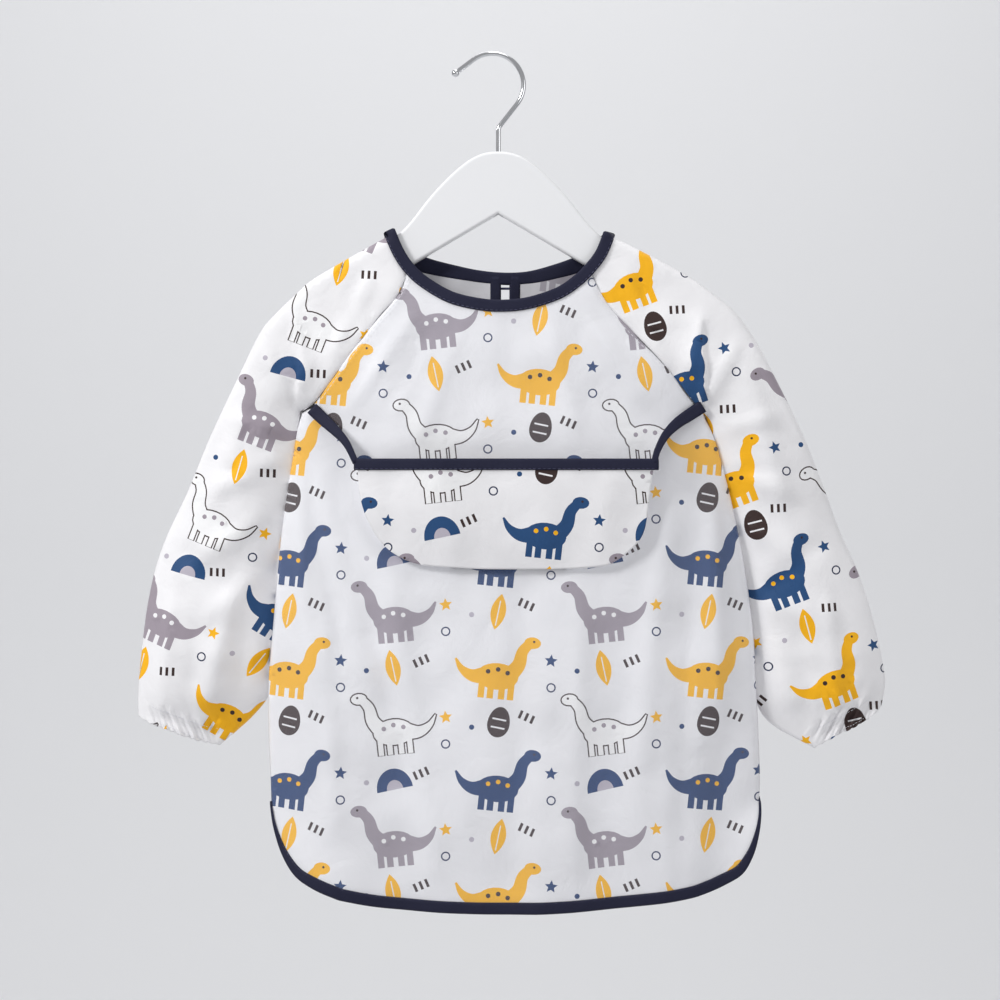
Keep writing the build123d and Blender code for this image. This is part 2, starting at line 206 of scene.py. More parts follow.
def curve_through(points, step=3.0):
    """A smooth line through the points: each stretch is a cubic whose end slopes are half the step between the
    neighbouring points. It is then cut into even lengths of about step."""
    p = np.asarray(points, float)
    ends = np.vstack([2 * p[0] - p[1], p, 2 * p[-1] - p[-2]])
    a, b, c, d = ends[:-3], ends[1:-2], ends[2:-1], ends[3:]
    t = np.linspace(0, 1, 12, endpoint=False)[None, :, None]
    m0, m1 = (c - a)[:, None] / 2, (d - b)[:, None] / 2
    b, c = b[:, None], c[:, None]
    fine = ((2 * t**3 - 3 * t**2 + 1) * b + (t**3 - 2 * t**2 + t) * m0
            + (3 * t**2 - 2 * t**3) * c + (t**3 - t**2) * m1).reshape(-1, p.shape[1])
    fine = np.vstack([fine, p[-1]])
    gone = np.concatenate([[0], np.cumsum(np.linalg.norm(np.diff(fine, axis=0), axis=1))])
    marks = np.linspace(0, gone[-1], max(2, int(round(gone[-1] / step)) + 1))
    return np.stack([np.interp(marks, gone, fine[:, k]) for k in range(p.shape[1])], axis=1)


def away_from(points, lines):
    """Distance in the flat from each point to the nearest of several lines: each point is dropped square onto every
    straight piece, held within its ends, and the shortest distance is kept."""
    best = np.full(len(points), 1e9)
    for line in lines:
        start, along = line[:-1], np.diff(line, axis=0)
        off = points[:, None, :] - start[None]
        t = np.clip((off * along).sum(2) / np.maximum((along**2).sum(1), 1e-9), 0, 1)
        best = np.minimum(best, np.linalg.norm(off - t[..., None] * along, axis=2).min(1))
    return best


def inside(points, ring):
    """Whether each point lies in a closed ring: a level ray from it crosses the ring an odd number of times."""
    x, z = points[:, 0][:, None], points[:, 1][:, None]
    a, b = ring, np.roll(ring, -1, axis=0)
    crosses = (a[:, 1] > z) != (b[:, 1] > z)
    rise = np.where(np.abs(b[:, 1] - a[:, 1]) < 1e-9, 1e-9, b[:, 1] - a[:, 1])
    return (crosses & (x < a[:, 0] + (z - a[:, 1]) * (b[:, 0] - a[:, 0]) / rise)).sum(1) % 2 == 1


def ramp(value, start, end):
    """0 before start, 1 after end, and a smooth turn between them."""
    t = np.clip((value - start) / (end - start), 0, 1)
    return t * t * (3 - 2 * t)


def fullness(x, z, lines, body):
    """How far the cloth stands off the middle plane. It rises steeply from each fold line as a quarter round of a few
    millimetres, then more slowly to the full depth of the body or of the sleeve."""
    d = away_from(np.stack([x, z], 1), lines)
    edge = np.interp(z, [-300, -262, -215], [3.2, 4.5, 7.5])
    body_depth = np.interp(z, [-618, -463, -377, -278, -252, -195, -130], [24, 24, 22, 20, 17, 12.5, 9])
    sleeve_depth = np.interp(z, [-500, -487, -464, -433, -371, -308, -260, -200, -130],
                             [10, 12, 17, 20, 19, 15, 12.5, 12, 9])
    arm = ramp(np.abs(x), 118, 175)
    depth = body_depth * (1 - arm) + sleeve_depth * arm
    reach = 95 - 30 * ramp(np.abs(x), 110, 150) if body else 95 * (1 - arm) + 46 * arm
    round_edge = np.sqrt(np.clip(1 - (1 - np.clip(d / (edge * 0.8), 0, 1)) ** 2, 0, 1))
    slow = 1 - (1 - np.clip(d / reach, 0, 1)) ** 2
    return edge * round_edge + (depth - edge) * slow


def along_and_off(x, z, start, end):
    """Where each spot lies from a straight line: its share of the way along it, and its distance to one side."""
    a, along = np.array(start, float), np.subtract(end, start).astype(float)
    length = np.hypot(*along)
    along /= length
    t = ((x - a[0]) * along[0] + (z - a[1]) * along[1]) / length
    return t, (x - a[0]) * along[1] - (z - a[1]) * along[0]


def creases(x, z, folds, side=1):
    """The sum of soft folds, each given by its two ends, width and height: a rounded ridge along a line, dying away
    at each end. A side of -1 mirrors them."""
    total = np.zeros_like(x)
    for start, end, width, height in folds:
        t, off = along_and_off(x, z, (side * start[0], start[1]), (side * end[0], end[1]))
        total += height * np.exp(-(off / width) ** 2) * ramp(t, -0.15, 0.25) * (1 - ramp(t, 0.75, 1.15))
    return total


def tuck(x, z, start, end, height, side):
    """One sharp fold: the cloth on the body's side of a line lies over the other by a step of the given height,
    which sinks back over two fingers' width."""
    t, off = along_and_off(x, z, start, end)
    off *= side
    step = height * ramp(off, -1.6, 1.6) * np.exp(-np.clip(off, 0, None) / 16)
    return step * ramp(t, -0.1, 0.5) * (1 - ramp(t, 0.85, 1.1))


def crumple(x, z, seed, size, height):
    """Gentle unevenness of cloth: the sum of seven waves in scattered directions, of lengths near size."""
    rng = np.random.default_rng(seed)
    total = np.zeros_like(x)
    for turn, scale, phase in zip(rng.uniform(0, math.pi, 7), rng.uniform(0.7, 1.6, 7), rng.uniform(0, 6.3, 7)):
        total += np.sin((x * math.cos(turn) + z * math.sin(turn)) * 2 * math.pi / (size * scale) + phase)
    return total * height / 4


left_outer, right_outer = curve_through(LEFT_OUTER), curve_through(RIGHT_OUTER)
left_side, right_side = curve_through(LEFT_SIDE), curve_through(RIGHT_SIDE)
left_inner, right_inner = curve_through(LEFT_INNER), curve_through(RIGHT_INNER)
BODY_LINES = [left_outer, right_outer, left_side, right_side]

# ---------------------------------------------------------------------------
# Printed cloth. A white woven polyester with a plain half-drop print of long-necked
# dinosaurs, leaves, hills, eggs, stars, rings and short strokes. The print is dyed into
# the cloth, so each colour is a region of the same sheet.
# ---------------------------------------------------------------------------


def rgb(r, g, b):
    """Screen colour 0 to 255 as the linear value that the renderer takes."""
    c = np.array([r, g, b]) / 255
    return tuple(np.where(c <= 0.04045, c / 12.92, ((c + 0.055) / 1.055) ** 2.4))


CRISP = {"cloth": rgb(243, 242, 244), "gold": rgb(252, 185, 8), "grey": rgb(160, 150, 160),
         "brown": rgb(54, 36, 34), "blue": rgb(31, 74, 122), "ink": rgb(24, 38, 74), "white": rgb(246, 246, 247),
         "lilac": rgb(190, 184, 196)}
VEILED = {"cloth": rgb(238, 238, 242), "gold": rgb(248, 188, 50), "grey": rgb(164, 156, 167),
          "brown": rgb(70, 58, 62), "blue": rgb(44, 73, 122), "ink": rgb(42, 56, 98), "white": rgb(243, 243, 245),
          "lilac": rgb(188, 183, 196)}
TILE = (150.0, 160.0)


def disc(x, z, rx, rz=None, count=14):
    """Ring of points on an ellipse."""
    t = np.linspace(0, 2 * math.pi, count, endpoint=False)
    return np.stack([x + rx * np.cos(t), z + (rz or rx) * np.sin(t)], 1)


def drawn(points, width):
    """A line with a width, one for all or one for each point: half of it to one side, then back along the other."""
    p = np.asarray(points, float)
    run = np.gradient(p, axis=0)
    side = np.stack([-run[:, 1], run[:, 0]], 1) / np.maximum(np.linalg.norm(run, axis=1), 1e-9)[:, None]
    return np.vstack([p + side * width / 2, (p - side * width / 2)[::-1]])


def grown(ring, by):
    """A ring moved outwards by a fixed distance along its own normals."""
    run = np.roll(ring, -1, axis=0) - np.roll(ring, 1, axis=0)
    out = np.stack([run[:, 1], -run[:, 0]], 1) / np.maximum(np.linalg.norm(run, axis=1), 1e-9)[:, None]
    area = (ring[:, 0] * np.roll(ring[:, 1], -1) - np.roll(ring[:, 0], -1) * ring[:, 1]).sum()
    return ring + out * by * (1 if area > 0 else -1)


def long_neck(skin, mark, outlined=False):
    """A plain long-necked dinosaur facing right, in flat shapes: an oval body and head, a neck and a tail that
    taper, four straight legs, three dots and an eye. An outlined one is drawn round in brown."""
    neck = curve_through([(7, -6), (14, 3), (16, 13), (21, 20)], 1.6)
    tail = curve_through([(-8, -6), (-18, -7), (-26, -3), (-31, 4)], 1.6)
    shapes = [disc(0, -6, 15, 9.5, 24), disc(22.5, 20, 6, 4.2, 16)]
    shapes += [drawn(path, np.linspace(wide, narrow, len(path))[:, None])
               for path, wide, narrow in [(neck, 12, 6.5), (tail, 13, 1.4)]]
    shapes += [drawn([(x, -8), (x, -22)], 4.6) for x in (-10.5, -4, 4, 10.5)]
    made = [(shape, skin) for shape in shapes]
    if outlined:
        made = [(grown(shape, 0.5), "brown") for shape in shapes]
        made += [(grown(shape, -0.45), skin) for shape in shapes]
    made += [(disc(x, z, 1.7, None, 10), mark) for x, z in [(-7, -3), (0, -1), (7, -3)]]
    return made + [(disc(23.5, 21, 0.9, None, 8), "brown")]


def leaf():
    """A plain pointed leaf: two equal arcs that meet at both ends, with a pale line down its middle."""
    t = np.linspace(-1, 1, 17)
    edge = np.stack([5.4 * (1 - t ** 2), 13 * t], 1)
    return [(np.vstack([edge, edge[-2:0:-1] * (-1, 1)]), "gold"), (drawn([(0, -10), (0, 8)], 0.8), "cloth")]


def egg():
    """A plain egg with two pale stripes: an oval whose upper half is drawn out by a third."""
    ring = disc(0, 0, 8, 9.4, 28)
    ring[:, 1] *= np.where(ring[:, 1] > 0, 1.33, 1)
    return [(ring, "brown")] + [(drawn([(-5, z), (5, z)], 1.2), "cloth") for z in (-2.5, 3.5)]


def hill():
    """A plain round hill: half an ellipse on a flat foot, with a smaller pale one inside it."""
    t = np.linspace(0, math.pi, 21)
    return [(np.stack([13 * size * np.cos(t), 15 * size * np.sin(t) - 7], 1), colour)
            for size, colour in [(1, "blue"), (0.45, "lilac")]]


def star(colour):
    """A five-pointed star: ten points at two radii in turn."""
    t = np.arange(10) * math.pi / 5 + math.pi / 2
    r = np.where(np.arange(10) % 2, 2.2, 4.8)
    return [(np.stack([r * np.cos(t), r * np.sin(t)], 1), colour)]


def ring_mark():
    """A small ring: a disc of ink with a smaller one of cloth on it."""
    return [(disc(0, 0, 3.4), "ink"), (disc(0, 0, 2.4), "cloth")]


def strokes():
    """Three short upright strokes, side by side."""
    return [(drawn([(x, -3), (x, 3)], 2.0), "brown") for x in (-4.5, 0, 4.5)]


def placed(figure, x, z, turn, flip=False):
    """A figure turned by some degrees about its middle, put at a place, and mirrored first where asked."""
    c, s = math.cos(math.radians(turn)), math.sin(math.radians(turn))
    spin, mirror = np.array([[c, s], [-s, c]]), (-1, 1) if flip else (1, 1)
    return [((np.asarray(ring, float) * mirror) @ spin + (x, z), colour) for ring, colour in figure]


def print_repeat():
    """One repeat of the print, a half drop: two columns of two dinosaurs, the second column half a row higher, a
    leaf, hill or egg above each of them, and small marks in the gaps."""
    column, row = TILE[0] / 2, TILE[1] / 2
    animals = [long_neck("gold", "brown"), long_neck("grey", "white"), long_neck("blue", "gold"),
               long_neck("white", "grey", outlined=True)]
    regions = []
    for k, (animal, above) in enumerate(zip(animals, [leaf(), hill(), egg(), leaf()])):
        x, z = k % 2 * column, k // 2 * row + k % 2 * row / 2 - 440
        lean = 6 if k % 2 else -6
        regions += placed(animal, x, z, lean, k % 2 == 1) + placed(above, x, z + row / 2, 2 * lean)
        regions += placed(star("gold" if k % 2 else "blue"), x + column / 2, z + 5, lean)
        regions += placed(ring_mark(), x + column / 2, z - 14, 0) + placed(strokes(), x + 20, z + 45, 4 * lean)
        regions += [(disc(x - 19, z + 38, 1.9, None, 10), "lilac" if k < 2 else "blue")]
    return regions


REPEAT = print_repeat()


def printed(outline, shift=(0, 0), turn=0.0, about=(0, 0)):
    """Every region of the print that touches a cut, in the cut's own plane: the repeat is stepped both ways, turned
    about one point and moved."""
    c, s = math.cos(math.radians(turn)), math.sin(math.radians(turn))
    spin = np.array([[c, s], [-s, c]])
    low, high = outline.min(0), outline.max(0)
    found = []
    for n in range(-4, 5):
        for m in range(-4, 5):
            for ring, colour in REPEAT:
                moved = (ring + (n * TILE[0], m * TILE[1]) - about) @ spin + about + shift
                if (moved.max(0) > low).all() and (moved.min(0) < high).all():
                    found.append((moved, colour))
    return found


def cut_cloth(outline, regions, dyes, spacing=5.0, inset=(1.3, 3.4), fine=()):
    """One flat cut of cloth as triangles: its outline, the edges of the print, two rows of points just inside the
    outline and an even grid, joined by a constrained Delaunay division. Each line in fine comes with its reach and
    the closer spacing of the grid within it. Each triangle then takes the colour of the last region that holds its
    middle. Returns the points, the triangles and their colours."""
    low, high = outline.min(0), outline.max(0)
    gx, gz = np.meshgrid(np.arange(low[0] + 1, high[0], spacing),
                         np.arange(low[1] + 1, high[1], spacing * 0.87))
    gx[::2] += spacing / 2
    grid = np.stack([gx.ravel(), gz.ravel()], 1)
    grid = grid[inside(grid, outline)]
    far = away_from(grid, [np.vstack([outline, outline[:1]])])
    grid = grid[far > 4.0]
    close = []
    for line, reach, step in fine:
        lo, hi = line.min(0) - reach, line.max(0) + reach
        gx, gz = np.meshgrid(np.arange(lo[0], hi[0], step), np.arange(lo[1], hi[1], step * 1.4))
        gx[::2] += step / 2
        spots = np.stack([gx.ravel(), gz.ravel()], 1)
        spots = spots[away_from(spots, [line]) < reach]
        close.append(spots[inside(spots, outline)])
        grid = grid[away_from(grid, [line]) > reach]
    grid = np.vstack([grid] + close)
    rows = [row[inside(row, outline)] for row in (grown(outline, -offset) for offset in inset)]
    rings = [outline] + [np.asarray(r, float) for r, _ in regions]
    points = np.vstack(rings + rows + [grid])
    edges, first = [], 0
    for ring in rings:
        k = np.arange(len(ring))
        edges.append(np.stack([first + k, first + np.roll(k, -1)], 1))
        first += len(ring)
    flat, _, faces, *_ = delaunay_2d_cdt(points.tolist(), np.vstack(edges).tolist(), [], 0, 0.03, False)
    flat, faces = np.array([tuple(v) for v in flat]), np.array(faces)
    middle = flat[faces].mean(1)
    keep = inside(middle, outline)
    faces, middle = faces[keep], middle[keep]
    colours = np.tile(np.array(dyes["cloth"]), (len(faces), 1))
    for ring, colour in regions:
        ring = np.asarray(ring, float)
        lo, hi = ring.min(0), ring.max(0)
        boxed = np.flatnonzero(((middle >= lo) & (middle <= hi)).all(1))
        if len(boxed):
            colours[boxed[inside(middle[boxed], ring)]] = dyes[colour]
    used, faces = np.unique(faces, return_inverse=True)
    return flat[used], faces.reshape(-1, 3), colours


def thicken(piece, thick):
    """Gives a sheet its thickness on the inner side, and its reverse where printed: paler, with painted shade."""
    skin = piece.modifiers.new("thickness", "SOLIDIFY")
    skin.thickness, skin.offset, skin.use_rim = thick, -1, True
    if piece.data.materials[0] == printed_cloth:
        piece.data.materials.append(reverse_painted_shade_cloth)
        skin.material_offset = 1


def sew(name, points, faces, material, colours=None, thick=None):
    """Puts points in metres and faces into a new object at the origin; colours go in as a corner attribute called
    dye, and thick turns the sheet into a closed skin."""
    mesh = bpy.data.meshes.new(name)
    mesh.from_pydata(np.asarray(points, float).tolist(), [], np.asarray(faces).tolist())
    mesh.polygons.foreach_set("use_smooth", np.full(len(mesh.polygons), True))
    if colours is not None:
        layer = mesh.color_attributes.new("dye", "FLOAT_COLOR", "CORNER")
        corner = np.repeat(np.hstack([colours, np.ones((len(colours), 1))]), len(faces[0]), axis=0)
        layer.data.foreach_set("color", corner.astype(np.float32).ravel())
    mesh.materials.append(material)
    mesh.update()
    piece = bpy.data.objects.new(name, mesh)
    scene.collection.objects.link(piece)
    if thick:
        thicken(piece, thick)
    return piece


def weave_material(name, roughness, sheen, weave=0.00022, dyed=True, colour=(0.8, 0.8, 0.8), reverse_shade_mix=0.0):
    """Woven cloth: crossed fine waves for the threads, soft noise for slack and wear in the colour, and small
    crumples, all on Object coordinates."""
    made, nodes, links, shader = new_material(name, colour, roughness, Sheen_Weight=sheen, Sheen_Roughness=0.4,
                                              Specular_IOR_Level=0.35)
    where = nodes.new("ShaderNodeTexCoord")
    threads = []
    for direction in ("X", "Z"):
        wave = nodes.new("ShaderNodeTexWave")
        wave.bands_direction = direction
        wave.inputs["Scale"].default_value = 900
        wave.inputs["Distortion"].default_value = 0.6
        wave.inputs["Detail"].default_value = 1
        links.new(where.outputs["Object"], wave.inputs["Vector"])
        threads.append(wave)
    crossed = nodes.new("ShaderNodeMath")
    crossed.operation = "MULTIPLY"
    links.new(threads[0].outputs["Fac"], crossed.inputs[0])
    links.new(threads[1].outputs["Fac"], crossed.inputs[1])
    fine = nodes.new("ShaderNodeBump")
    fine.inputs["Strength"].default_value = 0.25
    fine.inputs["Distance"].default_value = weave
    links.new(crossed.outputs["Value"], fine.inputs["Height"])
    slack = nodes.new("ShaderNodeTexNoise")
    slack.inputs["Scale"].default_value = 38
    slack.inputs["Detail"].default_value = 5
    slack.inputs["Roughness"].default_value = 0.55
    slack.inputs["Distortion"].default_value = 0.6
    links.new(where.outputs["Object"], slack.inputs["Vector"])
    rumple = nodes.new("ShaderNodeBump")
    rumple.inputs["Strength"].default_value = 0.55
    rumple.inputs["Distance"].default_value = 0.0022
    links.new(slack.outputs["Fac"], rumple.inputs["Height"])
    links.new(fine.outputs["Normal"], rumple.inputs["Normal"])
    links.new(rumple.outputs["Normal"], shader.inputs["Normal"])
    cloudy = nodes.new("ShaderNodeTexNoise")
    cloudy.inputs["Scale"].default_value = 17
    cloudy.inputs["Detail"].default_value = 4
    links.new(where.outputs["Object"], cloudy.inputs["Vector"])
    tone = nodes.new("ShaderNodeMapRange")
    tone.inputs["From Min"].default_value, tone.inputs["From Max"].default_value = 0.3, 0.7
    tone.inputs["To Min"].default_value, tone.inputs["To Max"].default_value = 0.94, 1.03
    links.new(cloudy.outputs["Fac"], tone.inputs["Value"])
    tint = nodes.new("ShaderNodeVectorMath")
    tint.operation = "SCALE"
    if dyed:
        dye = nodes.new("ShaderNodeAttribute")
        dye.attribute_name = "dye"
        if reverse_shade_mix:
            # Mixing towards grey pales the reverse print and darkens its white: painted shade for the smock's dim
            # inside.
            reverse_shade_node = nodes.new("ShaderNodeMix")
            reverse_shade_node.data_type = "RGBA"
            reverse_shade_node.inputs["Factor"].default_value = reverse_shade_mix
            reverse_shade_node.inputs[7].default_value = (*rgb(182, 182, 190), 1)
            links.new(dye.outputs["Color"], reverse_shade_node.inputs[6])
            links.new(reverse_shade_node.outputs[2], tint.inputs[0])
        else:
            links.new(dye.outputs["Color"], tint.inputs[0])
    else:
        tint.inputs[0].default_value = colour
    links.new(tone.outputs["Result"], tint.inputs["Scale"])
    links.new(tint.outputs["Vector"], shader.inputs["Base Color"])
    return made


printed_cloth = weave_material("printed_cloth", 0.62, 0.2)
# The reverse: dye mixed half way to grey, a paler print plus painted shade on the inside seen through the neck.
reverse_painted_shade_cloth = weave_material("reverse_painted_shade_cloth", 0.7, 0.2, reverse_shade_mix=0.5)


CLOTH_THICK = 0.0004


def shaped(flat, lines, front, body, folds, lift=0.0, dip=None):
    """Hangs a flat cut: x and z stay, and y is the fullness at that place plus its folds, towards the front or the
    back. Folds fade near the fold lines. dip names the lines where the sewn edge turns in by a millimetre."""
    x, z = flat[:, 0], flat[:, 1]
    d = away_from(flat, lines)
    y = fullness(x, z, lines, body) + folds(x, z) * ramp(d, 0, 22) + lift * np.clip(d / 3, 0, 1)
    if dip is not None:
        y = y - 1.3 * (1 - ramp(away_from(flat, dip), 0, 2.6))
    return np.stack([x, -y if front else y, z], 1) / 1000


def area_of(ring):
    """Area of a flat ring in square metres, by the trapezium rule."""
    x, z = ring[:, 0], ring[:, 1]
    return abs((x * np.roll(z, -1) - np.roll(x, -1) * z).sum()) / 2e6


# ---------------------------------------------------------------------------
# Front body. Two cuts of printed cloth between the raglan seams: the chest, which
# runs down behind the pocket, and the skirt of the body, whose bound top edge lies
# over it as a wide U. Both are faced with a thin clear film.
# ---------------------------------------------------------------------------
UPPER_FOOT = [(-133, -251), (-129, -263), (-118, -284), (-104, -296), (-60, -299), (0, -300), (60, -299),
              (114, -296), (128, -284), (139, -263), (141, -251)]
LEFT_LEG = [(-134, -254.5), (-128.5, -259.5), (-121, -267), (-112.5, -274.5), (-105.5, -284), (-101, -294)]
RIGHT_LEG = [(147, -253), (141, -257), (131.7, -262.8), (121.5, -271.2), (113.8, -283.2), (110.5, -294)]
neck_front = curve_through(NECK_FRONT)
left_raglan, right_raglan = curve_through(LEFT_RAGLAN), curve_through(RIGHT_RAGLAN)
hem = curve_through(HEM)


def front_folds(x, z):
    """Folds of the front: long soft flutes that grow towards the hem, pulls from the pocket's corners and the
    armholes, and a shallow hollow under the neck."""
    grow = ramp(-z, 300, 600)
    y = grow * 3.2 * np.sin(x / 26 + 0.7 * np.sin(z / 95) + 0.4) + grow * 1.3 * np.sin(x / 12.5 - z / 160 + 1.1)
    y += creases(x, z, [((-150, -285), (-132, -470), 7, 4.0), ((155, -290), (158, -480), 7, 3.6),
                       ((-138, -300), (-112, -420), 6, -2.4), ((-128, -380), (-116, -560), 8, 3.0),
                       ((-118, -300), (-60, -520), 9, -3.0), ((122, -300), (98, -540), 10, 3.6),
                       ((-80, -370), (-40, -610), 11, 3.2), ((20, -372), (10, -610), 12, -3.0),
                       ((60, -372), (52, -600), 9, 2.4), ((140, -330), (128, -590), 9, -2.8),
                       ((-60, -186), (-108, -258), 5, 2.4), ((62, -186), (112, -258), 5, 2.4),
                       ((-48, -196), (-84, -262), 5, -1.4), ((54, -196), (92, -262), 5, -1.6),
                       ((-25, -190), (-58, -282), 7, 1.8), ((35, -188), (60, -285), 8, 2.0),
                       ((5, -186), (8, -285), 9, -1.2)])
    y += crumple(x, z, 3, 46, 0.7) + crumple(x, z, 4, 24, 0.25)
    covered = (1 - ramp(np.abs(x - 5), 92, 122)) * (1 - ramp(np.abs(z + 325), 40, 62))
    return y * (1 - 0.85 * covered)


def film_material():
    """Clear soft film: mostly see-through with a frosted white veil and a broken gloss."""
    made, nodes, links, shader = new_material("clear_film", (0.9, 0.905, 0.92), 0.3, Alpha=0.03,
                                              Specular_IOR_Level=0.35)
    uneven(nodes, links, shader, 30, 0.24, 0.42, 60, 0.002)
    made.blend_method = "BLEND"
    return made


film = film_material()
upper_ring = np.vstack([neck_front[8:-7], right_raglan[:-4], curve_through(UPPER_FOOT)[::-1][1:-1],
                        left_raglan[:-4][::-1]])
leg_left, leg_right = curve_through(LEFT_LEG), curve_through(RIGHT_LEG)
middle_top = np.stack([np.linspace(-99, 108.5, 60), np.full(60, -295.0)], 1)
lower_ring = np.vstack([leg_left, middle_top, leg_right[::-1], right_side, hem[::-1][1:-1], left_side[::-1]])
FILM_THICK = 0.00015
for name, ring, shift, lift in [("front_upper_panel", upper_ring, (30, 50), 0.0),
                                ("front_lower_panel", lower_ring, (0, 0), 1.6)]:
    regions = printed(ring, shift)
    flat, faces, colours = cut_cloth(ring, regions, VEILED)
    dip = [left_raglan, right_raglan] if lift == 0 else None
    points = shaped(flat, BODY_LINES, True, True, front_folds, lift, dip)
    piece = sew(name + "_cloth", points, faces, printed_cloth, colours, CLOTH_THICK)
    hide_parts(name)
    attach(piece, "smock")
    flat, faces, _ = cut_cloth(ring, [], VEILED, spacing=6.0)
    points = shaped(flat, BODY_LINES, True, True, front_folds, lift + 0.9, dip)
    sheet = sew(name.replace("panel", "film_sheet"), points, faces, film, None, FILM_THICK)
    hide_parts(name.replace("panel", "film"))
    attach(sheet, "smock")

# ---------------------------------------------------------------------------
# Back body. One cut of the same cloth, with its reverse inside, paler and with painted shade, and a slit from
# the neck that a button and a loop close. It is not faced with film.
# ---------------------------------------------------------------------------
SLIT = (1.5, 8.5, -247)
neck_back = curve_through(NECK_BACK)
left_back_raglan, right_back_raglan = curve_through(LEFT_BACK_RAGLAN), curve_through(RIGHT_BACK_RAGLAN)


def back_folds(x, z):
    """Folds of the back: flutes below the shoulder blades and two pulls from the slit's foot."""
    grow = ramp(-z, 260, 600)
    y = grow * 2.8 * np.sin(x / 30 + 0.6 * np.sin(z / 80) + 2.0) + grow * 1.2 * np.sin(x / 13 + z / 140)
    y += creases(x, z, [((-20, -250), (-60, -480), 14, 2.4), ((25, -250), (70, -500), 14, 2.2),
                       ((-70, -180), (-115, -260), 8, 1.6), ((72, -180), (118, -262), 8, 1.6)])
    return y + crumple(x, z, 13, 50, 0.8) + crumple(x, z, 14, 25, 0.25)


slit_left = curve_through([(SLIT[0], -160.4), (SLIT[0], -200), (SLIT[0], SLIT[2]),
                           (SLIT[0] + 3.5, SLIT[2] - 3)])
slit_right = curve_through([(SLIT[0] + 3.5, SLIT[2] - 3), (SLIT[1], SLIT[2]), (SLIT[1], -200),
                            (SLIT[1], -160.4)])
at_left = np.argmin(np.abs(neck_back[:, 0] - SLIT[0] + 1.0))
at_right = np.argmin(np.abs(neck_back[:, 0] - SLIT[1] - 1.5))
from_left = np.argmin(np.abs(neck_back[:, 0] + 65))
from_right = np.argmin(np.abs(neck_back[:, 0] - 68))
back_ring = np.vstack([neck_back[from_left:at_left], slit_left[1:], slit_right[1:-1],
                       neck_back[at_right:from_right], right_back_raglan[1:-1], right_side,
                       hem[::-1][1:-1], left_side[::-1], left_back_raglan[1:-1][::-1]])
mirrored = back_ring * (-1, 1)
flat, faces, colours = cut_cloth(mirrored, printed(mirrored, (30, 92)), CRISP)
flat = flat * (-1, 1)
points = shaped(flat, BODY_LINES, False, True, back_folds, 0.0, [left_back_raglan, right_back_raglan])
back = sew("back_panel_cloth", points, faces, printed_cloth, colours, CLOTH_THICK)
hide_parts("back_panel")
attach(back, "smock")

# ---------------------------------------------------------------------------
# Sleeves. Each is one cut of the cloth, folded along the top of the arm and sewn to
# both raglan seams, closed below the armpit, and gathered into the cuff.
# ---------------------------------------------------------------------------


PLEAT = 3.9  # width of one cuff pleat, in millimetres


def sleeve_folds(side):
    """Folds of one sleeve: pulls that fan from the armpit, soft breaks at the elbow, and the gathers above the cuff,
    which are waves across the sleeve that die out within 40 mm of the cuff."""
    cuff = curve_through(LEFT_CUFF if side < 0 else RIGHT_CUFF)

    def folds(x, z):
        s = side
        near = away_from(np.stack([x, z], 1), [cuff])
        across = x * 0.92 - s * z * 0.38
        y = np.exp(-(near / 27) ** 2) * 1.5 * np.sin(across * 2 * math.pi / 9.5 + 1.3 * np.sin(across / 9))
        y += np.exp(-(near / 13) ** 2) * 1.15 * np.sin(across * 2 * math.pi / PLEAT + 0.8 * np.sin(across / 5))
        y -= 1.6 * np.exp(-((near - 7) / 4) ** 2)
        if s > 0:
            y += tuck(x, z, (146, -185), (151, -272), 4.2, 1)
        else:
            y += tuck(x, z, (-143, -212), (-146, -275), 4.2, -1)
        y += creases(x, z, [((146, -256), (176, -200), 5, 3.0), ((134, -236), (150, -176), 4.5, 2.0),
                           ((122, -222), (92, -160), 5, 2.0), ((108, -200), (100, -150), 4.5, -1.4),
                           ((156, -272), (206, -258), 6, 3.2), ((156, -290), (212, -318), 7, 3.2),
                           ((162, -300), (200, -300), 5, -2.0), ((166, -330), (228, -372), 8, 3.2),
                           ((235, -350), (186, -392), 8, -3.0), ((172, -372), (214, -410), 7, 2.4),
                           ((190, -385), (212, -478), 6, 3.0), ((236, -390), (244, -474), 6, 3.0),
                           ((214, -400), (226, -484), 6, -2.0), ((182, -400), (188, -470), 6, -1.6),
                           ((178, -222), (206, -330), 9, 2.6)], s)
        return y + crumple(x, z, 21 + s, 38, 0.8) + crumple(x, z, 25 + s, 20, 0.3)

    return folds


